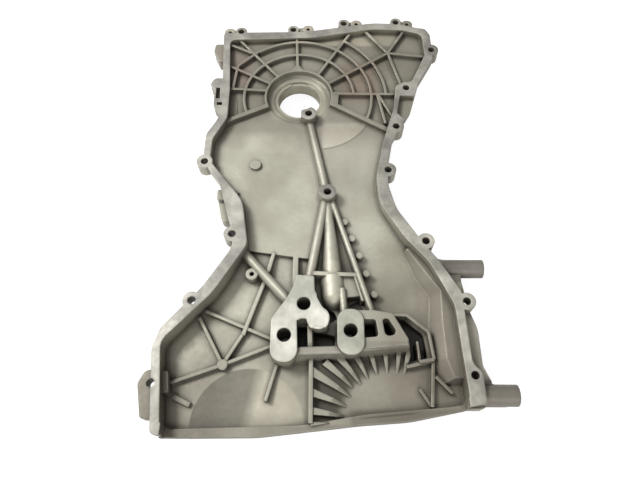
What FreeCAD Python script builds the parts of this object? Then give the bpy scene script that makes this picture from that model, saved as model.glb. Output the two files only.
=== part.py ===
import FreeCAD, Part
import math
import os

# Timing cover of an inline engine: one shallow die-cast aluminium pan.
# The crank opening is at one end, the two cam wheel recesses are at the other.
# Frame: origin on the crank bore axis at the outer end of its seal collar, which rests on the ground.
# +Z points out of the gasket face, +Y from the cam end to the crank end. Millimetres.

V = FreeCAD.Vector
UP = V(0, 0, 1)
doc = FreeCAD.newDocument("TimingCover")
sheet = doc.addObject("Spreadsheet::Sheet", "Sizes")

SIZES = [
    ("face_height", 34.0),
    ("flange_thickness", 9.0),
    ("wall_thickness", 3.5),
    ("floor_thickness", 3.5),
    ("crank_end_depth", 7.0),
    ("middle_depth", 13.0),
    ("cam_end_depth", 20.0),
    ("crank_to_cam", 334.0),
    ("crank_end_left", -80.0),
    ("crank_end_right", 140.5),
    ("cam_end_left", -106.0),
    ("cam_end_right", 144.0),
    ("bore_radius", 22.8),
    ("seal_radius", 30.0),
    ("seal_depth", 8.0),
    ("collar_radius", 37.0),
    ("dish_radius", 34.5),
    ("dish_depth", 10.5),
    ("rib_width", 2.8),
    ("rib_height", 5.0),
    ("web_ring_one", 59.5),
    ("web_ring_two", 78.5),
    ("web_ring_three", 94.5),
    ("post_radius", 8.3),
    ("post_hole_radius", 3.8),
    ("tie_depth", 5.0),
    ("stub_radius", 3.3),
    ("ear_radius", 8.0),
    ("ear_hole_radius", 3.6),
    ("ear_thickness", 14.0),
    ("lug_radius", 6.4),
    ("lug_hole_radius", 2.0),
    ("mount_hole_radius", 6.1),
    ("mount_core_depth", 30.5),
    ("bar_depth", 3.0),
    ("plate_depth", 2.0),
    ("rim_depth", 12.0),
    ("cam_wheel_recess", 47.0),
    ("finned_recess", 43.5),
    ("recess_depth", 3.0),
    ("fin_rise", 6.5),
    ("ledge_height", 5.0),
    ("tube_radius", 8.2),
    ("tube_hole_radius", 3.4),
    ("tube_height", 20.0),
]

for row, (alias, value) in enumerate(SIZES, start=1):
    sheet.set("A%d" % row, alias.replace("_", " "))
    sheet.set("B%d" % row, str(value))
    sheet.setAlias("B%d" % row, alias)
doc.recompute()
S = {alias: float(getattr(sheet, alias)) for alias, value in SIZES}

FACE = "Sizes.face_height"
CAM_Y = -S["crank_to_cam"]


def bind(thing, **formulas):
    for prop, formula in formulas.items():
        thing.setExpression(prop.replace("__", "."), formula)
    return thing


def down(depth):
    """Height at a depth below the gasket face, as a sheet formula."""
    return "%s - (%s)" % (FACE, depth)


def rounded_edges(corners):
    """Lines and tangent arcs of a closed outline; each corner is (x, y, radius)."""
    count = len(corners)
    starts, ends, arcs = [], [], []
    for i, (x, y, radius) in enumerate(corners):
        here = V(x, y, 0)
        before = V(*corners[i - 1][:2], 0) - here
        after = V(*corners[(i + 1) % count][:2], 0) - here
        half = before.getAngle(after) / 2.0
        reach = min(radius / math.tan(half), 0.49 * before.Length, 0.49 * after.Length)
        before.normalize()
        after.normalize()
        radius = reach * math.tan(half)
        a, b = here + before * reach, here + after * reach
        middle = here + (before + after).normalize() * (radius / math.sin(half) - radius)
        starts.append(a)
        ends.append(b)
        arcs.append(Part.Arc(a, middle, b) if radius > 0.05 and half < math.radians(89.5) else None)
    edges = []
    for i in range(count):
        if arcs[i] is not None:
            edges.append(arcs[i])
        elif (ends[i] - starts[i]).Length > 1e-6:
            edges.append(Part.LineSegment(starts[i], ends[i]))
        nxt = starts[(i + 1) % count]
        if (nxt - ends[i]).Length > 1e-6:
            edges.append(Part.LineSegment(ends[i], nxt))
    return edges


def outline_sketch(name, corners, height):
    sketch = doc.addObject("Sketcher::SketchObject", name + "_outline")
    for edge in rounded_edges(corners):
        sketch.addGeometry(edge, False)
    return bind(sketch, Placement__Base__z=height)


def prism(name, corners, low, high):
    """Upright block with a rounded outline between two heights, given as sheet formulas."""
    sketch = outline_sketch(name, corners, low)
    block = doc.addObject("Part::Extrusion", name)
    block.Base = sketch
    block.DirMode = "Custom"
    block.Dir = UP
    block.Solid = True
    return bind(block, LengthFwd="(%s) - (%s)" % (high, low))


def cylinder(name, x, y, radius, low, high):
    post = doc.addObject("Part::Cylinder", name)
    post.Placement.Base = V(x, y, 0)
    return bind(post, Radius=radius, Height="(%s) - (%s)" % (high, low), Placement__Base__z=low)


SPREAD = 400.0


def side_slab(name, profile):
    """Closed profile in the plane of symmetry (y, z), spread sideways past both edges."""
    wire = Part.makePolygon([V(-SPREAD, y, z) for y, z in profile + profile[:1]])
    slab = doc.addObject("Part::Feature", name)
    slab.Shape = Part.Face(wire).extrude(V(2.0 * SPREAD, 0, 0))
    return slab


def revolved(name, x, y, profile):
    """Ring or disc turned from a closed profile (radius, height) about an upright axis."""
    disc = doc.addObject("Part::Feature", name)
    face = Part.Face(Part.makePolygon([V(r, 0, z) for r, z in profile + profile[:1]]))
    disc.Shape = face.revolve(V(0, 0, 0), UP, 360)
    disc.Placement.Base = V(x, y, 0)
    return disc


def round_rib(name, a, b, radius, foot):
    """Rib with a half-round top between two points (x, y, height of its top)."""
    start, end = V(*a) - UP * radius, V(*b) - UP * radius
    along = end - start
    across = UP.cross(along).normalize() * radius
    crown = along.cross(across).normalize()
    low = crown * foot
    crown = crown * radius
    edges = [
        Part.LineSegment(start - across - low, start - across),
        Part.Arc(start - across, start + crown, start + across),
        Part.LineSegment(start + across, start + across - low),
        Part.LineSegment(start + across - low, start - across - low),
    ]
    rib = doc.addObject("Part::Feature", name)
    rib.Shape = Part.Face(Part.Wire([edge.toShape() for edge in edges])).extrude(along)
    return rib


def ramp_block(name, low_outline, low, high_outline, high):
    """Solid ruled between two outlines with the same number of corners at two heights."""
    rims = []
    for outline, height in ((low_outline, low), (high_outline, high)):
        points = [V(x, y, height) for x, y in outline]
        rims.append(Part.makePolygon(points + points[:1]))
    block = doc.addObject("Part::Feature", name)
    block.Shape = Part.makeLoft(rims, True, True)
    return block


def fuse(name, parts):
    joined = doc.addObject("Part::MultiFuse", name)
    joined.Shapes = parts
    joined.Refine = False
    return joined


def common(name, parts):
    shared = doc.addObject("Part::MultiCommon", name)
    shared.Shapes = parts
    shared.Refine = False
    return shared


def cut(name, base, tool):
    rest = doc.addObject("Part::Cut", name)
    rest.Base = base
    rest.Tool = tool
    rest.Refine = False
    return rest


def bar_corners(a, b, width, radius=0.0):
    """Outline of a straight rib from a to b."""
    along = V(b[0] - a[0], b[1] - a[1], 0)
    across = V(-along.y, along.x, 0).normalize() * (width / 2.0)
    a, b = V(a[0], a[1], 0), V(b[0], b[1], 0)
    return [(p.x, p.y, radius) for p in (a + across, b + across, b - across, a - across)]


def arc_band(name, centre, radius, width, start, sweep, low, high):
    """Rib that runs round a centre, from a start angle over a sweep, in degrees."""
    x, y = centre
    outer, inner = radius + width / 2.0, radius - width / 2.0
    first, middle, last = (math.radians(start + sweep * share) for share in (0.0, 0.5, 1.0))

    def spot(r, angle):
        return V(x + r * math.cos(angle), y + r * math.sin(angle), 0)

    sketch = doc.addObject("Sketcher::SketchObject", name + "_outline")
    sketch.addGeometry(Part.Arc(spot(outer, first), spot(outer, middle), spot(outer, last)), False)
    sketch.addGeometry(Part.LineSegment(spot(outer, last), spot(inner, last)), False)
    sketch.addGeometry(Part.Arc(spot(inner, last), spot(inner, middle), spot(inner, first)), False)
    sketch.addGeometry(Part.LineSegment(spot(inner, first), spot(outer, first)), False)
    bind(sketch, Placement__Base__z=low)
    block = doc.addObject("Part::Extrusion", name)
    block.Base = sketch
    block.DirMode = "Custom"
    block.Dir = UP
    block.Solid = True
    return bind(block, LengthFwd="(%s) - (%s)" % (high, low))


# Points of the cam end are given from the line through the two cam wheel centres.
def cam(x, y, radius=None):
    return (x, CAM_Y + y) if radius is None else (x, CAM_Y + y, radius)


left, right = S["crank_end_left"], S["crank_end_right"]
cam_left, cam_right = S["cam_end_left"], S["cam_end_right"]

# Inner wall of the pan, clockwise from the crank end's left corner.
CAVITY = [
    (left, 79.5, 7), (15, 83, 90), (84, 96.5, 60), (118, 94.5, 30), (right - 1, 88, 8),
    (right, 56, 10), (123, 17, 7), (105, 12, 7), (101, -20, 30), (88, -62, 40), (78.5, -104, 45),
    (80, -136, 45), (102, -174, 60), (122, -198, 40), (cam_right - 3.5, 95, 25),
    (cam_right, 12, 7), (60, 5, 120), (8, -3.5, 120), (cam_left + 2, -6.5, 6),
    (cam_left - 6.5, 63, 14), (-72, 107, 60), (-44.5, 154, 16), (-52, -134, 30),
    (-88, -87, 12), (-87.5, -60, 14), (-74.5, -33, 25), (-75, 8, 60),
]
CAM_ROWS = range(14, 22)
CAVITY = [cam(*p) if i in CAM_ROWS else p for i, p in enumerate(CAVITY)]

# Outer edge of the gasket flange.
FLANGE = [
    (left - 8, 90.5, 4), (5, 92, 90), (84, 106, 60), (115, 104.5, 30), (136, 98, 25), (right + 3.5, 97, 5),
    (right + 8.5, 87, 8), (right + 8.5, 50, 10), (130, 15, 12), (119, -22, 10), (110, -38, 10), (97, -62, 12),
    (91, -92, 30), (89.5, -116, 25), (96, -143, 40), (114, -172, 25), (131, -197, 25), (cam_right + 4, 107, 12),
    (cam_right + 5.5, 44, 10), (cam_right + 13, 36, 6), (cam_right + 13, 12, 4), (97, 0, 120), (54, -3, 120),
    (23, -6.5, 120), (-29, -12, 120), (cam_left - 5, -12.5, 5), (cam_left - 13, 56, 14), (-114, 74, 14),
    (-81, 113, 60), (-57.5, 152, 20), (-61, -164, 20), (-76, -113, 20), (-95, -88, 12), (-94.5, -54, 12),
    (-84, -34, 20), (-84, 24, 60),
]
FLANGE_CAM_ROWS = range(17, 30)
FLANGE = [cam(*p) if i in FLANGE_CAM_ROWS else p for i, p in enumerate(FLANGE)]


def depth_profile(extra, ceiling=None):
    """Heights of the pan floor along Y, lowered by extra; closed above at the ceiling."""
    top = S["face_height"]
    stations = [
        (130.0, S["crank_end_depth"]), (100.0, S["crank_end_depth"]), (-150.0, S["middle_depth"]),
        (CAM_Y + 128.0, S["cam_end_depth"]), (CAM_Y - 60.0, S["cam_end_depth"]),
    ]
    line = [(y, top - depth - extra) for y, depth in stations]
    high = top + 20.0 if ceiling is None else ceiling
    return line + [(stations[-1][0], high), (stations[0][0], high)]


def grow(corners, distance):
    """The same outline moved outward by a distance, corner by corner."""
    grown = []
    count = len(corners)
    for i, (x, y, radius) in enumerate(corners):
        before = V(x - corners[i - 1][0], y - corners[i - 1][1], 0).normalize()
        after = V(corners[(i + 1) % count][0] - x, corners[(i + 1) % count][1] - y, 0).normalize()
        left_of = V(-before.y, before.x, 0), V(-after.y, after.x, 0)
        bisector = (left_of[0] + left_of[1]).normalize()
        reach = distance / max(bisector.dot(left_of[0]), 0.3)
        turn = before.cross(after).z
        grown.append((x + bisector.x * reach, y + bisector.y * reach, max(radius - distance if turn > 0
                      else radius + distance, 1.0)))
    return grown


SHELL = grow(CAVITY, S["wall_thickness"])
INSIDE = grow(CAVITY, S["wall_thickness"] / 2.0)

# The pan: flange plate and drafted shell outside, hollow inside, floor sloping down to the cam end.
flange = prism("flange_plate", FLANGE, FACE + " - Sizes.flange_thickness", FACE)
shell = common("shell", [
    prism("shell_block", SHELL, "0", FACE),
    side_slab("shell_back", depth_profile(S["floor_thickness"])),
])
cavity_block = common("cavity", [
    prism("cavity_block", CAVITY, "0", FACE + " + 1"),
    side_slab("cavity_floor", depth_profile(0.0)),
])

# Mouth at the cam end: the side flanges run on, and only a low ledge closes the bottom.
MOUTH = [
    cam(cam_left + 2.5, 8, 0), cam(cam_right - 1, 22, 0), cam(cam_right, -30, 0), cam(cam_left + 2.5, -40, 0),
]
LEDGE = [
    cam(cam_left + 1, -7, 0), cam(-31, -8, 60), cam(20, -4.5, 60), cam(60, 3, 60), cam(101, 6, 60),
    cam(cam_right - 0.5, 13, 0), cam(cam_right, 8.5, 0), cam(97, -0.5, 120), cam(54, -3.5, 120),
    cam(23, -7, 120), cam(-29, -12.5, 120), cam(cam_left - 2, -13, 0),
]
LEDGE_TOP = down("Sizes.cam_end_depth - Sizes.ledge_height")
LEDGE_LOW = down("Sizes.cam_end_depth + Sizes.floor_thickness")
ABOVE_FACE = FACE + " + 1"
OUTER_BAND = [
    (138, -222, 0), (154, -236, 5), cam(161, 76, 30), cam(161, 44, 10), cam(167, 30, 5), cam(158, 9, 3), cam(138, 9, 0),
]
outer_band = prism("outer_band", OUTER_BAND, LEDGE_LOW, down("11"))
open_pan = cut("open_pan", cut("pan_wall", fuse("pan_outside", [flange, shell, outer_band]), cavity_block),
               prism("mouth", MOUTH, LEDGE_TOP, ABOVE_FACE))
ledge = prism("ledge", LEDGE, LEDGE_LOW, LEDGE_TOP)

# Heights that many forms share, worked out from the sheet.
face = S["face_height"]
cam_floor = face - S["cam_end_depth"]
tie_top = face - S["tie_depth"]
SINK = 2.0

# Floor of the middle runs level to a step on the left; a ramp leads up to the wall on the right.
left_shelf = prism("left_shelf", [(-70, -150, 0), (22, -150, 0), (12, -189.5, 0), (-50, -180.5, 0)],
                   down("Sizes.middle_depth + 6"), down("Sizes.middle_depth"))
RAMP_FOOT = [(100, -183), (110, -207), (121.5, -226), (118.5, -250), (117, -284), (124, -306), (152, -306),
             (152, -226), (118, -178)]
RAMP_HEAD = [(104, -180), (120, -205), (132, -222), (130.5, -250), (131, -284), (136, -300), (155, -300),
             (155, -224), (121, -176)]
wall_ramp = ramp_block("wall_ramp", RAMP_FOOT, cam_floor - SINK, RAMP_HEAD, face - 10.0)

# Rib web of the crank end: rings about the bore crossed by spokes, all as high as the floor allows.
WEB_LOW, WEB_HIGH = down("Sizes.middle_depth"), down("1")
CENTRE = (0.0, 0.0)
RIB = S["rib_width"]
RING = S["dish_radius"] + RIB / 2.0
NODE_RIGHT = (99.5, 62.0)
NODE_LEFT = (-54.0, 62.0)
SPOKES = [
    ((-4, 90), (-2, RING)), ((-74, 87), (-24, 28)), (NODE_LEFT, (-84, 77)), ((-80, 44), (-32, 18)),
    ((-80, 11), (-35, 8)), ((34, 4), (108, 3)), ((21, 31), (61, 98)), ((32, 18), NODE_RIGHT),
    (NODE_RIGHT, (72, 100)), (NODE_RIGHT, (121, 98)), (NODE_RIGHT, (146, 56)), (NODE_RIGHT, (112, 14)),
    ((-47, 64), (-69, 43)), ((-69, 43), (-72.5, 11)), ((85, 2), (92, -36)), ((86, 2), (101, -30)),
]
RINGS = [
    (RING, -17.0, 214.0), (S["web_ring_one"], 3.0, 197.0), (S["web_ring_two"], -24.0, 150.0),
    (S["web_ring_three"], 2.0, 56.0),
]
BORDERS = [((-84, -36), (-30, -10.5)), ((32, -7.5), (96, -45.5))]
web_parts = [
    arc_band("web_ring_%d" % i, CENTRE, radius, RIB, start, sweep, WEB_LOW, WEB_HIGH)
    for i, (radius, start, sweep) in enumerate(RINGS, start=1)
]
web_parts += [prism("spoke_%d" % i, bar_corners(a, b, RIB), WEB_LOW, WEB_HIGH) for i, (a, b) in enumerate(SPOKES, start=1)]
web_parts += [
    prism("border_%d" % i, bar_corners(a, b, RIB + 2.0), WEB_LOW, WEB_HIGH) for i, (a, b) in enumerate(BORDERS, start=1)
]
web_parts.append(prism("ring_gusset", [(-9, RING, 0), (5, RING, 0), (-2, RING + 10, 0)], WEB_LOW, WEB_HIGH))
web_parts.append(prism("ring_block", [(33, 2, 0), (43, 2, 0), (42, -12, 0), (34, -8, 0)], WEB_LOW, WEB_HIGH))
web_low = depth_profile(SINK)[1:3]
web_high = [(y, z + SINK + S["rib_height"]) for y, z in web_low]
beyond = S["web_ring_three"] + 50.0
web = common("web", [
    fuse("web_ribs", web_parts),
    prism("web_limit", INSIDE, WEB_LOW, WEB_HIGH),
    side_slab("web_ceiling", [(beyond, web_low[0][1])] + web_low + web_high[::-1] + [(beyond, web_high[0][1])]),
])
wall_pocket = prism("wall_pocket", [(-74.5, 9, 0), (-68, 9, 0), (-67, -26, 0), (-73.5, -29, 0)], down("14"), down("5"))

# Dished ring round the crank bore, and the seal collar outside.
dish_z = face - S["dish_depth"]
dish = revolved("dish", 0, 0, [
    (0.0, dish_z + 10.0), (S["dish_radius"] + 1.0, dish_z + 10.0), (S["dish_radius"], dish_z + 1.5),
    (S["dish_radius"] - 1.8, dish_z), (S["bore_radius"] + 5.0, dish_z - 0.6), (S["bore_radius"] + 3.5, dish_z - 1.8),
    (0.0, dish_z - 2.6),
])
collar = cylinder("seal_collar", 0, 0, "Sizes.collar_radius", "0", down("Sizes.middle_depth"))
crank_bore = cylinder("crank_bore", 0, 0, "Sizes.bore_radius", "-1", ABOVE_FACE)
seal_seat = cylinder("seal_seat", 0, 0, "Sizes.seal_radius", "-1", "Sizes.seal_depth")

# Bolt posts, the half-round ribs that tie them, and the row of stubs beside the outer rib.
POST_ONE, POST_TWO = (10.8, -27.0), (30.0, -123.5)
post_low = down("Sizes.middle_depth + Sizes.floor_thickness + 3")
posts = [
    cylinder("post_%d" % i, x, y, "Sizes.post_radius", post_low, FACE)
    for i, (x, y) in enumerate((POST_ONE, POST_TWO), start=1)
]
DEEP = down("Sizes.cam_end_depth + 2")
foot = S["cam_end_depth"]
ties = [
    round_rib("middle_tie", (*POST_ONE, tie_top), (*POST_TWO, tie_top), 3.9, foot),
    round_rib("left_tie", (28.3, -126.4, tie_top - 0.2), (12.5, -214, tie_top - 0.6), 4.1, foot),
    round_rib("right_tie", (33.2, -126.2, tie_top - 0.3), (*cam(69, 89), tie_top + 0.9), 2.6, foot),
    round_rib("short_tie", (53.8, -206.8, tie_top - 1.7), (61.2, -233, tie_top - 2.3), 1.5, foot),
    round_rib("saddle_tie", (42.5, -221, tie_top - 0.9), (44.5, -246, tie_top - 0.1), 3.2, foot),
    round_rib("slanted_tie", (-53, -179, tie_top - 3.2), (-5.4, -232.5, tie_top - 0.8), 4.3, foot),
]
STUBS = [(46.5, -152), (53, -169.5), (59.5, -187), (65.5, -205), (72, -225)]
stubs = [
    cylinder("stub_%d" % i, x, y, "Sizes.stub_radius", DEEP, down("Sizes.tie_depth + %g" % (3.5 + 0.7 * i)))
    for i, (x, y) in enumerate(STUBS, start=1)
]
# The broad tie opens like a cone and ends in a barrel between the two machined faces.
CONE_START, CONE_END, BARREL_END = (30.5, -126.0), (34.5, -207.5), (35.5, -226.0)
CONE_NARROW, CONE_WIDE, BARREL = 3.5, 9.8, 11.5
cone = doc.addObject("Part::Feature", "broad_tie")
narrow_z, wide_z = tie_top - CONE_NARROW - 1.0, tie_top - CONE_WIDE - 1.0
cone_axis = V(*CONE_END, wide_z) - V(*CONE_START, narrow_z)
cone.Shape = Part.makeCone(CONE_NARROW, CONE_WIDE, cone_axis.Length, V(*CONE_START, narrow_z), cone_axis)
barrel_z = tie_top - BARREL
barrel = doc.addObject("Part::Feature", "barrel")
barrel_start = V(*CONE_END, barrel_z)
barrel_axis = V(*BARREL_END, barrel_z) - barrel_start
barrel.Shape = Part.makeCylinder(BARREL, barrel_axis.Length, barrel_start, barrel_axis)
barrel_nose = doc.addObject("Part::Sphere", "barrel_nose")
barrel_nose.Radius = BARREL
barrel_nose.Placement.Base = V(*BARREL_END, barrel_z)
saddle = [
    cone, barrel, barrel_nose,
    prism("saddle_edge", [(15, -204.5, 0), (60, -206.5, 0), (60, -210, 0), (15, -208.5, 0)], DEEP, down("Sizes.tie_depth + 1.4")),
    prism("saddle_side", [(44, -208, 0), (59, -209, 0), (63, -227, 3), (45, -229, 0)], DEEP, down("Sizes.tie_depth + 5")),
]

# Machined mounting faces with their deep holes, and the cross bar with its two windows.
PIECE_A = [
    cam(2, 123, 2), cam(17.5, 122, 2), cam(18, 108, 6), cam(24, 98, 6), cam(31, 86, 7), cam(29, 72, 8),
    cam(13, 74.5, 3), cam(12.5, 82.5, 4.5), cam(2.5, 82.5, 4.5), cam(4, 45, 10.5), cam(-19.5, 45, 10.5),
    cam(-19.5, 82, 8), cam(-6, 102, 10), cam(-2, 110, 10),
]
PIECE_B = [cam(37.5, 91, 10.5), cam(60.5, 91, 10.5), cam(60.5, 51, 10.5), cam(37.5, 51, 10.5)]
MOUNT_HOLES = [cam(8.5, 96), cam(-8, 68), cam(49, 72)]
PLATE = [cam(54, 90.5, 2), cam(70, 90.5, 3), cam(86, 87.5, 3), cam(98, 65, 2), cam(98, 60, 0), cam(54, 56, 0)]
CORE_LOW = down("Sizes.mount_core_depth")
machined = [prism("mount_face_a", PIECE_A, "4", FACE), prism("mount_face_b", PIECE_B, "4", FACE)]
BAR_SIDE = [
    (2.8, face - S["bar_depth"] - 1.0), (1.8, face - S["bar_depth"]), (-2.5, face - S["bar_depth"]),
    (-3.8, face - S["bar_depth"] - 1.2), (-6.0, cam_floor + S["fin_rise"]), (-7.5, cam_floor - SINK),
    (2.8, cam_floor - SINK),
]


def bar_piece(name, a, b):
    """Length of the cross bar from a to b, with its drafted front wall."""
    start, along = V(*a, 0), V(b[0] - a[0], b[1] - a[1], 0)
    across = UP.cross(along).normalize()
    side = [start + across * out + UP * z for out, z in BAR_SIDE]
    piece = doc.addObject("Part::Feature", name)
    piece.Shape = Part.Face(Part.makePolygon(side + side[:1])).extrude(along)
    return piece


bars = [bar_piece("cross_bar_left", cam(-4, 55.4), cam(48, 57.0)), bar_piece("cross_bar_right", cam(42, 57.2), cam(98.5, 62.9))]
plate = prism("window_plate", PLATE, DEEP, down("Sizes.plate_depth"))
lobe_wall = prism("lobe_wall", [(11.5, -254, 0), (15.5, -254, 0), (16.5, -279, 0), (12.5, -279, 0)], DEEP, down("7"))

# Deep cores behind the mounting faces: the slot, both windows, the pit of the barrel and the open corner.
CORES = [
    [cam(2.6, 81, 0), cam(11.5, 81, 0), cam(12, 62.5, 0), cam(3.6, 62, 0)],
    [cam(60.5, 82.5, 0), cam(71, 82.5, 3), cam(73, 67, 3), cam(60.5, 66, 0)],
    [cam(76.5, 83, 3), cam(82, 83, 3), cam(90, 69, 4), cam(78.5, 67, 4)],
    [(19, -222, 0), (24, -232, 0), (36, -240, 0), (38, -246, 0), (32, -250, 0), (24, -240, 0), (20, -232, 0)],
    [(48, -234, 3), (58, -229, 3), (64, -241, 2), (52, -243, 2)],
    [cam(88, 88, 2), cam(98, 88, 5), cam(114.5, 74, 6), cam(116.5, 52, 3), cam(100.5, 49.5, 1), cam(100.5, 66, 1)],
    [(17.5, -258, 0), (30, -260, 3), (36, -262, 0), (36, -270, 0), (17.5, -272, 0)],
]
cores = [prism("core_%d" % i, corners, CORE_LOW, ABOVE_FACE) for i, corners in enumerate(CORES, start=1)]
RIM = [(86, -244.5), (99.5, -244.5), (118, -260), (120.5, -284), (108, -286)]
rim = [
    prism("core_rim_%d" % i, bar_corners(a, b, 2.6), DEEP, down("Sizes.rim_depth"))
    for i, (a, b) in enumerate(zip(RIM, RIM[1:]), start=1)
]
core_web = prism("core_web", [(106.5, -268, 0), (108.5, -268, 0), (109.5, -286, 0), (107.5, -286, 0)], CORE_LOW, down("14"))

# Ribs of the cam end floor.
CAM_NODE = cam(-61, 46)
FLOOR_RIBS = [
    ((-25.5, -203), (-20.5, -183), 3.4, 8.0), ((-28, -210), (-45, -262), 3.4, 5.5), ((-80, -240), (-14, -268), RIB, 5.0),
    ((-85, -246), CAM_NODE, RIB, 5.0), ((-43, -257), CAM_NODE, RIB, 5.0), (CAM_NODE, (-112, -306), RIB, 5.0),
    (CAM_NODE, (-16, -270), RIB, 5.0), ((-101, -314), (-86, -321), 4.0, 3.0), ((-14.5, -288), (-23, -318), RIB, 4.0),
    ((15, -268), (15, -336), 3.6, 8.0), ((97, -290), (121, -284.5), RIB, 6.0), ((120, -286), (116, -323), RIB, 5.0),
    ((116, -323), (107, -308), RIB, 3.0), ((121, -298), (134, -312), RIB, 5.0),
]
floor_ribs = [
    prism("floor_rib_%d" % i, bar_corners(a, b, w), DEEP, down("Sizes.cam_end_depth - %g" % rise))
    for i, (a, b, w, rise) in enumerate(FLOOR_RIBS, start=1)
]
floor_ribs.append(cylinder("rib_node", *CAM_NODE, "4.5", DEEP, down("Sizes.cam_end_depth - 5.5")))
floor_ribs.append(cylinder("tapped_boss", -40, -206, "5.6", DEEP, down("10")))
floor_ribs.append(cylinder("locating_boss", -43, -86, "5.6", DEEP, down("9")))
floor_ribs.append(prism("wall_pad", [(-114, -294, 2), (-105, -295, 2), (-102.5, -312, 2), (-110, -313, 2)], DEEP, down("8")))

# Recesses that clear the two cam wheels; radial fins run up from the edge of the right one.
LEFT_WHEEL, RIGHT_WHEEL = cam(-38, -4), cam(85, -2.5)
recess_r = S["cam_wheel_recess"]
recess = revolved("left_recess", *LEFT_WHEEL, [
    (0.0, cam_floor + 1.0), (recess_r + 4.0, cam_floor + 1.0), (recess_r, cam_floor), (0.55 * recess_r,
     cam_floor - S["recess_depth"] + 0.4), (0.0, cam_floor - S["recess_depth"]),
])
FIN_ANGLES = (181.0, 171.5, 160.0, 148.5, 130.0, 119.5, 108.0, 96.0, 84.5, 76.5)
fin_foot, fin_end = S["finned_recess"] - 1.0, 2.0 * S["finned_recess"]
FIN_TIP, FIN_ROOT = 0.9, 4.2
fins = []
for i, angle in enumerate(FIN_ANGLES, start=1):
    turn = FreeCAD.Rotation(UP, angle)
    outline = [V(fin_foot, -FIN_TIP, 0), V(fin_end, -FIN_ROOT, 0), V(fin_end, FIN_ROOT, 0), V(fin_foot, FIN_TIP, 0)]
    corners = [turn.multVec(p) + V(*RIGHT_WHEEL, 0) for p in outline]
    fins.append(prism("fin_%d" % i, [(p.x, p.y, 0) for p in corners], DEEP, down("Sizes.cam_end_depth - Sizes.fin_rise - 2")))
fin_top = revolved("fin_top", *RIGHT_WHEEL, [
    (fin_foot - 2.0, cam_floor - SINK), (fin_foot, cam_floor + 0.2), (fin_foot + 13.0, cam_floor + S["fin_rise"]),
    (fin_end + 5.0, cam_floor + S["fin_rise"] + 1.0), (fin_end + 5.0, cam_floor - SINK),
])
FIN_FIELD = [cam(15, -12, 0), cam(15, 56, 0), cam(60, 58, 0), cam(101, 61, 0), cam(101, 0, 0), cam(60, -4, 0)]
fin_ring = common("fin_ring", [fuse("fins", fins), fin_top, prism("fin_field", FIN_FIELD, DEEP, FACE)])

# Bolt ears, paired lugs and outer brackets round the flange.
EARS = [
    (148.5, 64), (116, 8), (102, -44), (90.5, -98), (121, -177), cam(151.5, 98), cam(-90, 99), (-93, -88),
    (-59.5, -169.5),
]
SMALL_EARS = [cam(150.5, 34), (-68, 92.5), (-8, 95.5), (50.5, 105.5), (111, 107.5)]
LUGS = [(-81, 92), (9, 97), (65, 105.5), (124, 105)]
EAR_LOW = down("Sizes.ear_thickness")
ears = [cylinder("ear_%d" % i, x, y, "Sizes.ear_radius", EAR_LOW, FACE) for i, (x, y) in enumerate(EARS, start=1)]
ears += [
    cylinder("small_ear_%d" % i, x, y, "Sizes.lug_radius", EAR_LOW, FACE)
    for i, (x, y) in enumerate(SMALL_EARS, start=1)
]
lugs = [cylinder("lug_%d" % i, x, y, "Sizes.lug_radius", EAR_LOW, down("1")) for i, (x, y) in enumerate(LUGS, start=1)]
lugs += [
    prism("lug_web_%d" % i, bar_corners(a, b, 8.0), EAR_LOW, down("2"))
    for i, (a, b) in enumerate(zip(SMALL_EARS[1:], LUGS), start=1)
]
brackets = [
    prism("corner_ear", [(-112, -294, 2), (-122, -296, 6), (-127, -306, 6), (-121, -334, 3), (-110, -334, 1)],
          EAR_LOW, down("1.5")),
    prism("upper_lug", [(-84, 73, 0), (-96, 73, 3), (-97, 62, 4), (-90, 47, 3), (-84, 47, 0)], EAR_LOW, down("1")),
    prism("side_ear", [(-82, 21, 0), (-92, 22, 6), (-97, 12, 6), (-91.5, 5, 2), (-90.5, -17, 4), (-82, -31, 0)], EAR_LOW, FACE),
    prism("hanger_top", [(-79, -116, 2), (-58, -118, 0), (-60, -129, 0), (-79, -127, 2)], down("19"), down("9")),
    prism("hanger_block", [(-77, -131, 2), (-56, -131, 0), (-54, -152, 0), (-72, -152, 5)], down("21"), down("10")),
]

# Two tubular bosses reach sideways past the right flange, each tied to the wall by a web.
TUBES = [("upper_tube", 128.0, -199.5, 173.0, 8.6), ("lower_tube", 149.0, -314.0, 187.0, 9.0)]
tubes = []
for name, x, y, end, radius in TUBES:
    tube = doc.addObject("Part::Cylinder", name)
    tube.Placement = FreeCAD.Placement(V(x, y, 0), FreeCAD.Rotation(V(0, 1, 0), 90))
    tube.Radius = radius
    tube.Height = end - x
    tubes.append(bind(tube, Placement__Base__z="Sizes.tube_height"))
WEB_TOP = "Sizes.tube_height + 4"
tubes.append(prism("upper_web", [(128, -190, 0), (152, -195, 0), (151.5, -214, 5), (153, -224, 0), (150, -234, 0), (137, -222, 0)],
                   LEDGE_LOW, WEB_TOP))
tubes.append(prism("lower_web", [cam(150, 46, 0), cam(158, 42, 4), cam(166, 28, 8), cam(180, 27, 0), cam(180, 12, 0), cam(150, 12, 0)],
                   LEDGE_LOW, WEB_TOP))

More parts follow.
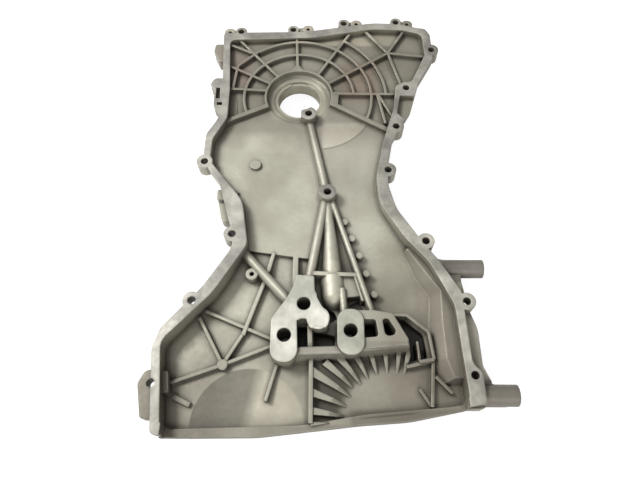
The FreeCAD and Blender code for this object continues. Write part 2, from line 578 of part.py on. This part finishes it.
# Outside: the engine mount block with its columns, bolt columns, and domes over the wheel recesses.
BLOCK = [
    cam(-22, 34, 12), cam(-24, 82, 12), cam(-2, 120, 14), cam(24, 118, 14), cam(40, 100, 20), cam(100, 94, 10),
    cam(121, 76, 10), cam(122, 46, 6), cam(60, 40, 20), cam(20, 38, 20),
]
mount_block = prism("mount_block", BLOCK, "0", LEDGE_LOW + " + 1")
DOME_LOW = LEDGE_LOW + " - Sizes.recess_depth"
domes = common("domes", [
    fuse("dome_discs", [
        cylinder("left_dome", *LEFT_WHEEL, "Sizes.cam_wheel_recess + 2", DOME_LOW, LEDGE_LOW + " + 1"),
        cylinder("right_dome", *RIGHT_WHEEL, "Sizes.finned_recess", DOME_LOW, LEDGE_LOW + " + 1"),
    ]),
    prism("dome_limit", SHELL, "0", FACE),
])
BACK_RIBS = [((0, -30), (0, -216), 5.0), ((-30, -20), (-78, -66), 5.0), ((30, -20), (84, -92), 5.0)]
back_low = down("Sizes.middle_depth + Sizes.floor_thickness + 4")
back_ribs = [
    prism("back_rib_%d" % i, bar_corners(a, b, w), back_low, down("Sizes.middle_depth"))
    for i, (a, b, w) in enumerate(BACK_RIBS, start=1)
]

GROUPS = {
    "floor_forms": [left_shelf, wall_ramp, plate, lobe_wall, fin_ring] + bars + rim,
    "low_ribs": floor_ribs,
    "saddle_forms": saddle,
    "tie_ribs": ties,
    "stub_row": stubs,
}
inner_space = common("inner_space", [
    prism("inner_limit", INSIDE, "2", FACE), side_slab("above_floor", depth_profile(SINK)),
])
dished = cut("dished_pan", fuse("pan_with_web", [open_pan, web, collar] + back_ribs), fuse("dish_cuts", [dish, wall_pocket]))
hollow = cut("recessed_pan", fuse("domed_pan", [dished, domes]), recess)
carrier = fuse("mount_carrier", [hollow, ledge, mount_block] + machined)
for name, forms in GROUPS.items():
    limited = common(name, [fuse(name + "_whole", forms), inner_space])
    carrier = fuse("pan_with_" + name, [carrier, limited])
cored = fuse("cored_carrier", [cut("open_carrier", carrier, fuse("core_cuts", cores)), core_web])
solid = cored
for name, forms in {"brackets": brackets, "tubes": tubes, "ears": ears, "lugs": lugs, "posts": posts}.items():
    solid = fuse("casting_with_" + name, [solid] + forms)

# Holes.
holes = [crank_bore, seal_seat]
holes += [
    cylinder("mount_hole_%d" % i, x, y, "Sizes.mount_hole_radius", "-1", ABOVE_FACE)
    for i, (x, y) in enumerate(MOUNT_HOLES, start=1)
]
holes += [
    cylinder("post_hole_%d" % i, x, y, "Sizes.post_hole_radius", "-1", ABOVE_FACE)
    for i, (x, y) in enumerate((POST_ONE, POST_TWO), start=1)
]
holes += [
    cylinder("ear_hole_%d" % i, x, y, "Sizes.ear_hole_radius", "0", ABOVE_FACE)
    for i, (x, y) in enumerate(EARS + SMALL_EARS + [cam(-116, 28)], start=1)
]
holes += [
    cylinder("lug_hole_%d" % i, x, y, "Sizes.lug_hole_radius", down("8"), ABOVE_FACE)
    for i, (x, y) in enumerate(LUGS, start=1)
]
holes.append(cylinder("boss_thread", -40, -206, "2.1", down("Sizes.cam_end_depth"), FACE))
holes.append(prism("flange_recess", [(108.5, -3, 0), (132, -3, 0), (124, -28, 0), (114, -38, 0), (104, -27, 2)],
                   down("6"), ABOVE_FACE))
holes.append(prism("ear_recess", [(-89.5, 8, 0), (-85.5, 8, 0), (-84.5, -7, 0), (-89, -7, 0)], down("5"), ABOVE_FACE))
holes.append(prism("ear_slot", [(-87, -12, 0), (-81.5, -12, 0), (-81.5, -16, 0), (-87, -16, 0)], down("4"), ABOVE_FACE))
for i, (name, x, y, end, radius) in enumerate(TUBES, start=1):
    bore = doc.addObject("Part::Cylinder", "tube_hole_%d" % i)
    bore.Placement = FreeCAD.Placement(V(end - 22.0, y, 0), FreeCAD.Rotation(V(0, 1, 0), 90))
    bore.Height = 30.0
    holes.append(bind(bore, Radius="Sizes.tube_hole_radius", Placement__Base__z="Sizes.tube_height"))
cover = cut("timing_cover", solid, fuse("all_holes", holes))

doc.recompute()
for thing in doc.Objects:
    if "Invalid" in thing.State or "Error" in thing.State:
        raise RuntimeError("failed: " + thing.Name)
shape = cover.Shape
if shape.isNull() or not shape.isValid():
    raise RuntimeError("the cover is not a valid solid")
os.makedirs("parts", exist_ok=True)
shape.exportStep("parts/timing_cover.step")
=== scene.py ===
import math

import bpy
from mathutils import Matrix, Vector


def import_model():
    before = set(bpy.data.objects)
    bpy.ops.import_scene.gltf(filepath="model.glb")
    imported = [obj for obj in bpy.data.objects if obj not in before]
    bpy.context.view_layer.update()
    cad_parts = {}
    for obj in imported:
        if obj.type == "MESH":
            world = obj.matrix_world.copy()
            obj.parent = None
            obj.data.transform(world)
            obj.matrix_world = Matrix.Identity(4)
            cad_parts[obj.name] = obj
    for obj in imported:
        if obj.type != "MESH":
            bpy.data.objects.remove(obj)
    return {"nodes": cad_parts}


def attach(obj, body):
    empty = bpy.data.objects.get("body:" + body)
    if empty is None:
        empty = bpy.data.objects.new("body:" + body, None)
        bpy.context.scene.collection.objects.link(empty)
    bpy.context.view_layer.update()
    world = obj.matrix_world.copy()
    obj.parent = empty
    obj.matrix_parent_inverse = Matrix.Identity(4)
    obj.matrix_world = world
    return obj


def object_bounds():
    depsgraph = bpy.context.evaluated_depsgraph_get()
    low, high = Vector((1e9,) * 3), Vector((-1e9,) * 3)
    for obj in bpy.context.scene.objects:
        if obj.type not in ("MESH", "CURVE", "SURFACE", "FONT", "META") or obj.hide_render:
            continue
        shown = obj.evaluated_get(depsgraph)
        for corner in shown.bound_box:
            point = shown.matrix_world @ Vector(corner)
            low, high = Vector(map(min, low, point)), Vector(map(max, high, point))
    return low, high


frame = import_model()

# Looks of a bare cast aluminium timing cover, seen from its open side in soft studio light.
MM = 0.001
CAD_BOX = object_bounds()

# Machined faces: their level (m), the play round it (m), and how level a face has to lie.
GASKET_FACE = 34.0 * MM
FACE_TOLERANCE = 0.25 * MM
LEVEL_FACE = 0.95
# Faces that look down more steeply than this belong to the back.
BACK_FACE = -0.5

# Cast skin and machined metal, as linear colours.
SKIN_LIGHT = (0.425, 0.415, 0.340, 1.0)
SKIN_DARK = (0.270, 0.258, 0.205, 1.0)
SKIN_STAIN = (0.320, 0.275, 0.235, 1.0)
# Painted shade for corners and the feet of the ribs.
CREVICE_SHADE = (0.060, 0.052, 0.038, 1.0)
# Painted shade for the deep cores of the mounting block.
DEEP_CORE_SHADE = (0.012, 0.010, 0.008, 1.0)
# Bright edges: painted highlight on the rims, with some wear.
EDGE_HIGHLIGHT_AND_WEAR = (0.600, 0.585, 0.510, 1.0)
FLANGE_LIGHT = (0.385, 0.368, 0.322, 1.0)
FLANGE_DARK = (0.190, 0.182, 0.160, 1.0)
MOUNT_LIGHT = (0.560, 0.550, 0.480, 1.0)
MOUNT_DARK = (0.330, 0.328, 0.275, 1.0)
WHITE = (1.0, 1.0, 1.0, 1.0)
PAPER = (0.9, 0.9, 0.9, 1.0)

# Tints that multiply the skin: painted shade and painted light, and dark lines of painted shade.
POCKET_SHADE = (0.30, 0.28, 0.26, 1.0)
WHEEL_SHADE = (0.52, 0.51, 0.495, 1.0)
WHEEL_SHINE = (1.22, 1.19, 1.17, 1.0)
BAND_SHINE = (1.36, 1.35, 1.36, 1.0)
BAND_EDGE = (0.62, 0.60, 0.58, 1.0)

# Patchiness of the colour: noise (scale, detail, roughness), then the fade that is cut from it.
CLOUDS = ((16.0, 4.0, 0.5), (0.35, 0.68))
STAINS = ((9.0, 2.0, 0.5), (0.52, 0.80))
MOTTLE = ((260.0, 3.0, 0.5), (0.35, 0.70))
PATCHES = ((38.0, 5.0, 0.6), (0.38, 0.66))
STAIN_SHARE, MOTTLE_SHARE = 0.5, 0.18

# Unevenness of the surface: noise, strength and height (m).
GRAIN = ((900.0, 3.0, 0.5), 0.25, 0.25 * MM)
SWELLS = ((45.0, 2.0, 0.5), 0.35, 1.2 * MM)

# Sheen: share of metal, roughness and how much the mottle adds to it.
METAL_SHARE, ROUGHNESS, MOTTLE_ROUGHNESS = 0.35, 0.46, 0.12

# Areas tinted by position: low corner, high corner (x, y, mm), soft edge (mm), tint. Some tints are
# painted shade or painted light, the last two are stains, and the rest make an area darker or lighter.
# The side tubes have theirs all round, the others on the open side only; the tubes' purple-grey tint
# carries painted shade.
TUBE_AREAS = (
    ((136.0, -213.0), (190.0, -186.0), 3.0, (0.51, 0.48, 0.50, 1.0)),
    ((160.0, -330.0), (200.0, -303.0), 3.0, (0.48, 0.45, 0.46, 1.0)),
)
AREAS = (
    # Darker web at the crank end: partly painted shade, partly a darker tone.
    ((-130.0, -42.0), (160.0, 120.0), 26.0, (0.68, 0.66, 0.65, 1.0)),
    ((84.0, -345.0), (140.0, -178.0), 22.0, (0.80, 0.78, 0.76, 1.0)),
    # Painted shade round the left wheel's dark half.
    ((-125.0, -352.0), (-72.0, -302.0), 30.0, (0.62, 0.60, 0.585, 1.0)),
    ((44.0, -350.0), (140.0, -296.0), 18.0, (0.72, 0.70, 0.69, 1.0)),
    ((-130.0, -352.0), (150.0, -339.0), 3.0, (0.70, 0.68, 0.67, 1.0)),
    ((-112.0, -338.0), (16.0, -262.0), 22.0, (0.86, 0.85, 0.84, 1.0)),
    # Painted light on the inner side of the top wall.
    ((-90.0, 79.0), (110.0, 125.0), 3.0, (1.60, 1.58, 1.55, 1.0)),
    ((112.0, -310.0), (142.0, -215.0), 6.0, (0.84, 0.82, 0.82, 1.0)),
    ((-6.0, -282.0), (100.0, -272.0), 2.0, (0.82, 0.81, 0.82, 1.0)),
    ((-22.0, -20.0), (22.0, 22.0), 9.0, (1.60, 1.60, 1.58, 1.0)),
    # Painted highlight on the bulb beside the mounting faces.
    ((20.0, -234.0), (42.0, -196.0), 4.0, (1.16, 1.16, 1.14, 1.0)),
    ((50.0, -352.0), (150.0, -327.0), 4.0, (0.70, 0.68, 0.67, 1.0)),
    ((-50.0, -62.0), (-8.0, -50.0), 10.0, (1.18, 1.18, 1.17, 1.0)),
    # Stains with a red-purple cast.
    ((-84.0, 20.0), (-60.0, 60.0), 10.0, (1.00, 0.88, 0.93, 1.0)),
    ((52.0, 4.0), (80.0, 44.0), 12.0, (1.02, 0.89, 0.85, 1.0)),
)
# Tints of milled faces: low corner, high corner (x, y, mm), soft edge (mm), tint. Painted shade on the
# right mounting face, painted light on the left one's lobe, and a lighter right flange.
MILLED_AREAS = (
    ((38.0, -290.0), (62.0, -240.0), 1.5, (0.80, 0.81, 0.78, 1.0)),
    ((14.0, -262.0), (30.0, -246.0), 6.0, (1.20, 1.19, 1.20, 1.0)),
    ((96.0, -345.0), (190.0, -130.0), 14.0, (1.26, 1.26, 1.24, 1.0)),
)
MOUNT_AREA = ((-24.0, -296.0), (66.0, -200.0), 1.0)

# Wheel recesses (centre and radius, mm) and the floor level of the cam end (m).
LEFT_WHEEL, LEFT_RADIUS = (-38.0, -338.0), 47.5
RIGHT_WHEEL, RIGHT_RADIUS = (85.0, -336.5), 46.0
CAM_FLOOR = 14.0 * MM

# Left wheel recess: soft rim (mm), its levels (m), and the slanted border of its shaded half (m).
DISC_RIM = 0.4
DISC_TOP, DISC_BOTTOM = CAM_FLOOR + 0.3 * MM, CAM_FLOOR - 3.4 * MM
SHADE_SLANT = 0.24
SHADE_END, SHINE_START = -45.0 * MM, -34.0 * MM

# Painted shade in the pockets between the fins: inner and outer fade from the wheel radius (mm), fade in
# height (m).
POCKET_INNER, POCKET_OUTER = (-2.0, 4.0), (36.0, 26.0)
POCKET_TOP, POCKET_FLOOR = CAM_FLOOR + 2.5 * MM, CAM_FLOOR + 0.8 * MM
POCKET_AREA = ((17.5, -333.0), (100.0, -272.0), 1.5)

# Painted light on a band of the middle floor beside the upper post, with a line of painted shade at its
# edge: centre, radius and soft rim (mm), half widths of its edge line (mm), highest level of the floor
# (m).
BAND_CENTRE, BAND_RADIUS, BAND_RIM = (19.8, -5.2), 60.2, 0.6
BAND_LINE = (1.3, 0.4)
BAND_CEILING = 24.4 * MM
BAND_AREA = ((27.0, -76.0), (82.0, -34.0), 4.0)

# Dark line of painted shade along the lip: y on the crank axis (m), slope, half widths (mm), reach.
STREAK_LEVEL, STREAK_SLOPE = -337.2 * MM, 0.0903
STREAK_LINE = (1.1, 0.4)
STREAK_AREA = ((62.0, -340.0), (97.0, -320.0), 8.0)

# Painted shade in the deep cores of the mounting block: where they lie, the lit one, and the levels of
# their fade (m).
SHAFT_AREAS = (
    ((1.0, -286.0), (118.0, -245.0), 0.5),
    ((18.5, -250.0), (38.5, -234.0), 0.5),
    ((47.0, -244.0), (65.0, -228.5), 0.5),
)
LIT_SHAFT, LIT_SHARE = ((16.5, -274.0), (37.0, -257.0), 0.5), 0.55
SHAFT_TOP, SHAFT_FOOT = 12.5 * MM, 10.5 * MM

# Bright edges, a painted highlight with some wear: radius (m), fades by the turn of the surface and by
# its openness, share.
EDGE_RADIUS = 1.8 * MM
EDGE_TURN, EDGE_OPENNESS, EDGE_SHARE = (0.97, 0.80), (0.55, 0.9), 0.40
# Painted shade in the corners and at the feet of the ribs: reach (m), fade and share.
CORNER_REACH, CORNER_FADE, CORNER_SHARE = 16.0 * MM, (0.86, 0.30), 0.82
RIB_FOOT_SHADE_REACH, RIB_FOOT_SHADE_FADE, RIB_FOOT_SHADE_SHARE = 5.0 * MM, (0.92, 0.50), 0.80
SHADER_SAMPLES = 4

# Slabs let into the casting: name, outline (x, y, mm, anticlockwise), low and high level (mm).
LOBE_CENTRE, LOBE_RADIUS, LOBE_SIDES = (21.0, -251.0), 10.0, 48
SLABS = (
    ("wall_pocket", ((-75.5, 10.0), (-74.5, -30.0), (-66.0, -27.0), (-67.0, 10.0)), 23.6, 24.6),
    ("mount_pocket", ((47.0, -228.0), (51.0, -244.0), (65.0, -242.0), (59.0, -228.0)), 10.6, 11.4),
    ("mount_lobe", [
        (LOBE_CENTRE[0] + LOBE_RADIUS * math.cos(math.tau * i / LOBE_SIDES),
         LOBE_CENTRE[1] + LOBE_RADIUS * math.sin(math.tau * i / LOBE_SIDES))
        for i in range(LOBE_SIDES)
    ], 22.0, 33.96),
)

# Radial fin of the right wheel: direction, level of its foot (mm), and its stations:
# distance from the wheel centre, half width and top (mm).
FIN_ANGLE, FIN_FOOT = math.radians(139.0), 13.0
FIN_STATIONS = ((45.0, 0.9, 14.2), (58.0, 1.85, 20.5), (77.0, 3.25, 20.8))

# Ground: size and gap under the cover (m), brightness where it shows, and the part kept in shade.
GROUND_SIZE, GROUND_GAP = 6.0, 0.1 * MM
GROUND_GLOW, GROUND_SHARE = 1.25, 0.72
GROUND_SHADE = ((-22.0, -296.0), (118.0, -218.0), 4.0)

# Soft boxes: name, place (m), side (m), power (W). All of them face the middle of the cover.
LIGHT_AIM = (0.0, -0.12, 0.0)
LIGHTS = (
    ("key", (-1.05, 0.35, 1.45), 0.6, 37.0),
    ("top", (-0.1, 0.3, 1.8), 1.2, 5.0),
    ("front", (0.1, -1.5, 0.9), 0.8, 14.0),
)
SKY_LIGHT = 0.28

# Camera (lens and sensor in mm, place in m).
LENS = 29.25
SENSOR = 36.0
CLIP_START = 0.01
CAMERA_TILT = math.radians(26.3)
CAMERA_PLACE = (22.685 * MM, -389.728 * MM, 466.0 * MM)


class Nodes:
    """Short way to add and link shader nodes of one tree."""

    def __init__(self, tree):
        self.tree = tree
        tree.nodes.clear()

    def add(self, kind, **inputs):
        node = self.tree.nodes.new(kind)
        for name, value in inputs.items():
            self.feed(node.inputs[name.replace("_", " ")], value)
        return node

    def feed(self, socket, value):
        if isinstance(value, bpy.types.NodeSocket):
            self.tree.links.new(value, socket)
        else:
            socket.default_value = value

    def math(self, operation, a, b=0.0):
        node = self.tree.nodes.new("ShaderNodeMath")
        node.operation = operation
        self.feed(node.inputs[0], a)
        self.feed(node.inputs[1], b)
        return node.outputs[0]

    def product(self, first, *others):
        for other in others:
            first = self.math("MULTIPLY", first, other)
        return first

    def vector_math(self, operation, a, b):
        node = self.tree.nodes.new("ShaderNodeVectorMath")
        node.operation = operation
        self.feed(node.inputs[0], a)
        self.feed(node.inputs[1], b)
        return node.outputs["Value"]

    def mix(self, share, a, b, blend="MIX"):
        node = self.tree.nodes.new("ShaderNodeMix")
        node.data_type = "RGBA"
        node.blend_type = blend
        self.feed(node.inputs["Factor"], share)
        self.feed(node.inputs[6], a)
        self.feed(node.inputs[7], b)
        return node.outputs[2]

    def tint(self, share, a, b):
        return self.mix(share, a, b, "MULTIPLY")

    def mix_vectors(self, share, a, b):
        node = self.tree.nodes.new("ShaderNodeMix")
        node.data_type = "VECTOR"
        self.feed(node.inputs["Factor"], share)
        self.feed(node.inputs[4], a)
        self.feed(node.inputs[5], b)
        return node.outputs[1]

    def noise(self, place, scale, detail, rough):
        return self.add("ShaderNodeTexNoise", Vector=place, Scale=scale, Detail=detail,
                        Roughness=rough).outputs["Fac"]

    def ramp(self, value, low, high):
        return self.add("ShaderNodeMapRange", Value=value, From_Min=low, From_Max=high).outputs["Result"]

    def patchiness(self, place, noise, fade):
        return self.ramp(self.noise(place, *noise), *fade)

    def openness(self, reach):
        node = self.add("ShaderNodeAmbientOcclusion", Distance=reach)
        node.samples = SHADER_SAMPLES
        return node.outputs["AO"]


def inside(n, x, y, low, high, soft):
    """Mask that is 1 inside a rectangle seen from above and fades out over the soft edge."""
    return n.product(
        n.ramp(x, (low[0] - soft) * MM, low[0] * MM), n.ramp(x, (high[0] + soft) * MM, high[0] * MM),
        n.ramp(y, (low[1] - soft) * MM, low[1] * MM), n.ramp(y, (high[1] + soft) * MM, high[1] * MM),
    )


class Spot:
    """Where a point of the casting lies, which way its face looks and how mottled it is."""

    def __init__(self, n):
        geometry = n.add("ShaderNodeNewGeometry")
        self.place = geometry.outputs["Position"]
        self.normal = geometry.outputs["True Normal"]
        split = n.add("ShaderNodeSeparateXYZ", Vector=self.place)
        self.x, self.y, self.height = (split.outputs[axis] for axis in "XYZ")
        self.plan = n.add("ShaderNodeCombineXYZ", X=self.x, Y=self.y).outputs[0]
        self.upward = n.add("ShaderNodeSeparateXYZ", Vector=self.normal).outputs["Z"]
        self.open_side = n.math("GREATER_THAN", self.upward, BACK_FACE)
        self.mottle = n.patchiness(self.place, *MOTTLE)


def reach_from(n, at, centre):
    """Distance (m) from an upright axis through a centre given in millimetres."""
    return n.vector_math("DISTANCE", at.plan, (centre[0] * MM, centre[1] * MM, 0.0))


def cast_skin(n, at):
    """Clouded and stained cast skin with the tints of its areas, some of them painted shade or painted
    light.
    """
    skin = n.mix(n.patchiness(at.place, *CLOUDS), SKIN_DARK, SKIN_LIGHT)
    skin = n.mix(n.product(n.patchiness(at.place, *STAINS), STAIN_SHARE), skin, SKIN_STAIN)
    skin = n.mix(n.product(at.mottle, MOTTLE_SHARE), skin, SKIN_DARK)
    for low, high, soft, tint in TUBE_AREAS:
        skin = n.tint(inside(n, at.x, at.y, low, high, soft), skin, tint)
    for low, high, soft, tint in AREAS:
        skin = n.tint(n.product(at.open_side, inside(n, at.x, at.y, low, high, soft)), skin, tint)
    return skin


def left_disc(n, at):
    """Mask of the smooth shallow disc of the left wheel."""
    reach = reach_from(n, at, LEFT_WHEEL)
    return n.product(
        n.ramp(reach, (LEFT_RADIUS + DISC_RIM) * MM, (LEFT_RADIUS - DISC_RIM) * MM),
        n.math("LESS_THAN", at.height, DISC_TOP),
        n.math("GREATER_THAN", at.height, DISC_BOTTOM),
        at.open_side,
    )


def shade_disc(n, at, disc, skin):
    """Painted shade darkens the left wheel's disc on the left and painted light brightens it on the
    right.
    """
    lean = n.math("SUBTRACT", at.x, n.product(n.math("SUBTRACT", at.y, LEFT_WHEEL[1] * MM), SHADE_SLANT))
    shine_side = n.ramp(lean, SHADE_END, SHINE_START)
    skin = n.tint(n.product(disc, n.math("SUBTRACT", 1.0, shine_side)), skin, WHEEL_SHADE)
    return n.tint(n.product(disc, shine_side), skin, WHEEL_SHINE)


def shade_band(n, at, skin):
    """Painted light on the middle floor beside the upper post, up to a curved edge with a line of
    painted shade.
    """
    reach = reach_from(n, at, BAND_CENTRE)
    beside = n.product(inside(n, at.x, at.y, *BAND_AREA), at.open_side,
                       n.math("LESS_THAN", at.height, BAND_CEILING))
    band = n.product(beside, n.ramp(reach, (BAND_RADIUS + BAND_RIM) * MM, (BAND_RADIUS - BAND_RIM) * MM))
    skin = n.tint(band, skin, BAND_SHINE)
    gap = n.math("ABSOLUTE", n.math("SUBTRACT", reach, BAND_RADIUS * MM))
    return n.tint(n.product(beside, n.ramp(gap, BAND_LINE[0] * MM, BAND_LINE[1] * MM)), skin, BAND_EDGE)


def shade_lip(n, at, skin):
    """A thin line of painted shade runs along the lip in front of the right wheel."""
    drop = n.math("SUBTRACT", n.math("SUBTRACT", at.y, STREAK_LEVEL), n.product(at.x, STREAK_SLOPE))
    line = n.ramp(n.math("ABSOLUTE", drop), STREAK_LINE[0] * MM, STREAK_LINE[1] * MM)
    return n.tint(n.product(line, inside(n, at.x, at.y, *STREAK_AREA)), skin, BAND_EDGE)


def shade_fin_pockets(n, at, skin):
    """Painted shade darkens the pockets between the fins of the right wheel."""
    reach = reach_from(n, at, RIGHT_WHEEL)
    fades = [n.ramp(reach, (RIGHT_RADIUS + start) * MM, (RIGHT_RADIUS + end) * MM)
             for start, end in (POCKET_INNER, POCKET_OUTER)]
    pocket = n.product(*fades, n.ramp(at.height, POCKET_TOP, POCKET_FLOOR), at.open_side,
                       inside(n, at.x, at.y, *POCKET_AREA))
    return n.tint(pocket, skin, POCKET_SHADE)


def milled_metal(n, at):
    """Patchy milled flange and the brighter milled mounting faces, with painted shade and painted light
    on parts of them.
    """
    patches = n.patchiness(at.place, *PATCHES)
    flange = n.mix(patches, FLANGE_DARK, FLANGE_LIGHT)
    tone = n.mix(inside(n, at.x, at.y, *MOUNT_AREA), flange, n.mix(patches, MOUNT_DARK, MOUNT_LIGHT))
    for low, high, soft, tint in MILLED_AREAS:
        tone = n.tint(inside(n, at.x, at.y, low, high, soft), tone, tint)
    return tone


def edges_and_painted_shade(n, at, soft_normal, colour):
    """Bright edges (painted highlight, with some wear), painted shade in the corners, at the feet of the
    ribs and in the dark deep cores.
    """
    turned = n.vector_math("DOT_PRODUCT", soft_normal, at.normal)
    open_air = n.openness(CORNER_REACH)
    edge = n.product(n.ramp(turned, *EDGE_TURN), n.ramp(open_air, *EDGE_OPENNESS))
    # Painted highlight on open edges, with some wear.
    colour = n.mix(n.product(edge, EDGE_SHARE), colour, EDGE_HIGHLIGHT_AND_WEAR)
    # Painted shade in the corners, where little light reaches.
    colour = n.mix(n.product(n.ramp(open_air, *CORNER_FADE), CORNER_SHARE), colour, CREVICE_SHADE)
    # Painted shade in narrow lines at the feet of the ribs.
    rib_foot_shade = n.ramp(n.openness(RIB_FOOT_SHADE_REACH), *RIB_FOOT_SHADE_FADE)
    colour = n.mix(n.product(rib_foot_shade, RIB_FOOT_SHADE_SHARE), colour, CREVICE_SHADE)
    # Painted shade in the deep cores, less in the lit one.
    shafts = inside(n, at.x, at.y, *SHAFT_AREAS[0])
    for area in SHAFT_AREAS[1:]:
        shafts = n.math("MAXIMUM", shafts, inside(n, at.x, at.y, *area))
    lit = n.product(inside(n, at.x, at.y, *LIT_SHAFT), LIT_SHARE)
    depth = n.product(n.ramp(at.height, SHAFT_TOP, SHAFT_FOOT), at.open_side)
    return n.mix(n.product(depth, shafts, n.math("SUBTRACT", 1.0, lit)), colour, DEEP_CORE_SHADE)


def roughen(n, at, normal, noise, strength, height):
    """Normal of a surface made uneven by noise."""
    bump = n.add("ShaderNodeBump", Strength=strength, Distance=height, Normal=normal,
                 Height=n.noise(at.place, *noise))
    return bump.outputs["Normal"]


def cast_aluminium():
    """Matt cast skin; the faces cut flat at the gasket level are milled."""
    material = bpy.data.materials.new("cast_aluminium")
    material.use_nodes = True
    n = Nodes(material.node_tree)
    at = Spot(n)
    disc = left_disc(n, at)
    skin = shade_disc(n, at, disc, cast_skin(n, at))
    skin = shade_fin_pockets(n, at, shade_lip(n, at, shade_band(n, at, skin)))
    milled = n.product(n.math("GREATER_THAN", at.height, GASKET_FACE - FACE_TOLERANCE),
                       n.math("GREATER_THAN", at.upward, LEVEL_FACE))
    soft_edges = n.add("ShaderNodeBevel", Radius=EDGE_RADIUS)
    soft_edges.samples = SHADER_SAMPLES
    colour = edges_and_painted_shade(n, at, soft_edges.outputs["Normal"], n.mix(milled, skin, milled_metal(n, at)))
    level = n.mix_vectors(disc, soft_edges.outputs["Normal"], (0.0, 0.0, 1.0))
    normal = roughen(n, at, roughen(n, at, level, *GRAIN), *SWELLS)
    roughness = n.math("ADD", n.product(at.mottle, MOTTLE_ROUGHNESS), ROUGHNESS)
    metal = n.add("ShaderNodeBsdfPrincipled", Base_Color=colour, Metallic=METAL_SHARE,
                  Roughness=roughness, Normal=normal)
    n.add("ShaderNodeOutputMaterial", Surface=metal.outputs["BSDF"])
    return material


def dress(node, material):
    """Gives every slot of a node of the part one material."""
    for slot in frame["nodes"][node].material_slots:
        slot.material = material


def let_in(name, points, faces, material):
    """A piece of its own, let into the casting; the points are in millimetres."""
    mesh = bpy.data.meshes.new(name)
    mesh.from_pydata([tuple(value * MM for value in point) for point in points], [], faces)
    mesh.validate()
    mesh.materials.append(material)
    piece = bpy.data.objects.new(name, mesh)
    bpy.context.scene.collection.objects.link(piece)
    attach(piece, "root")


def slab(name, outline, low, high, material):
    """Upright slab over an outline."""
    count = len(outline)
    points = [(x, y, z) for z in (low, high) for x, y in outline]
    faces = [tuple(range(count))[::-1], tuple(range(count, 2 * count))]
    faces += [(i, (i + 1) % count, count + (i + 1) % count, count + i) for i in range(count)]
    let_in(name, points, faces, material)


def fin(name, material):
    """Radial fin: thin and low at its tip, wider and nearly level from there out."""
    along, across = math.cos(FIN_ANGLE), math.sin(FIN_ANGLE)
    points = []
    for reach, half, top in FIN_STATIONS:
        x, y = RIGHT_WHEEL[0] + along * reach, RIGHT_WHEEL[1] + across * reach
        left = (x - across * half, y + along * half)
        right = (x + across * half, y - along * half)
        points += [left + (FIN_FOOT,), right + (FIN_FOOT,), right + (top,), left + (top,)]
    faces = [(0, 1, 2, 3), (11, 10, 9, 8)]
    faces += [(i + j, i + 4 + j, i + 4 + (j + 1) % 4, i + (j + 1) % 4) for i in (0, 4) for j in range(4)]
    let_in(name, points, faces, material)


def floor():
    """Plain white ground under the cover, shown as pure white where no shadow falls."""
    bpy.ops.mesh.primitive_plane_add(size=GROUND_SIZE, location=(0.0, 0.0, CAD_BOX[0][2] - GROUND_GAP))
    ground = bpy.context.object
    ground.name = "studio_floor"
    material = bpy.data.materials.new("white_paper")
    material.use_nodes = True
    n = Nodes(material.node_tree)
    paper = n.add("ShaderNodeBsdfDiffuse", Color=PAPER)
    glow = n.add("ShaderNodeEmission", Color=WHITE, Strength=GROUND_GLOW)
    seen = n.add("ShaderNodeLightPath").outputs["Is Camera Ray"]
    split = n.add("ShaderNodeSeparateXYZ", Vector=n.add("ShaderNodeNewGeometry").outputs["Position"])
    under = inside(n, split.outputs["X"], split.outputs["Y"], *GROUND_SHADE)
    share = n.product(seen, n.math("SUBTRACT", 1.0, under), GROUND_SHARE)
    blend = n.add("ShaderNodeMixShader", Fac=share)
    n.feed(blend.inputs[1], paper.outputs["BSDF"])
    n.feed(blend.inputs[2], glow.outputs["Emission"])
    n.add("ShaderNodeOutputMaterial", Surface=blend.outputs["Shader"])
    ground.data.materials.append(material)


def soft_box(name, place, side, power):
    """Square lamp that faces the middle of the cover."""
    light = bpy.data.lights.new(name, "AREA")
    light.shape = "RECTANGLE"
    light.size = light.size_y = side
    light.energy = power
    holder = bpy.data.objects.new(name, light)
    holder.location = place
    x, y, z = (a - p for a, p in zip(LIGHT_AIM, place))
    holder.rotation_euler = (math.atan2(math.hypot(x, y), -z), 0.0, math.atan2(-x, y))
    bpy.context.scene.collection.objects.link(holder)


def world():
    """Soft light from all round, seen as white behind the cover."""
    sky = bpy.data.worlds.new("studio")
    bpy.context.scene.world = sky
    sky.use_nodes = True
    n = Nodes(sky.node_tree)
    seen = n.add("ShaderNodeLightPath").outputs["Is Camera Ray"]
    strength = n.math("ADD", SKY_LIGHT, n.product(seen, 1.0 - SKY_LIGHT))
    glow = n.add("ShaderNodeBackground", Color=WHITE, Strength=strength)
    n.add("ShaderNodeOutputWorld", Surface=glow.outputs["Background"])


def camera():
    """Looks down from over the open end, tilted towards the crank end."""
    data = bpy.data.cameras.new("photo_camera")
    data.lens = LENS
    data.sensor_width = SENSOR
    data.clip_start = CLIP_START
    holder = bpy.data.objects.new("photo_camera", data)
    holder.location = CAMERA_PLACE
    holder.rotation_euler = (CAMERA_TILT, 0.0, 0.0)
    bpy.context.scene.collection.objects.link(holder)
    bpy.context.scene.camera = holder


casting = cast_aluminium()
dress("timing_cover", casting)
for name, outline, low, high in SLABS:
    slab(name, outline, low, high, casting)
fin("wheel_fin", casting)
floor()
for name, place, side, power in LIGHTS:
    soft_box(name, place, side, power)
world()
camera()
bpy.context.scene.view_settings.view_transform = "Standard"
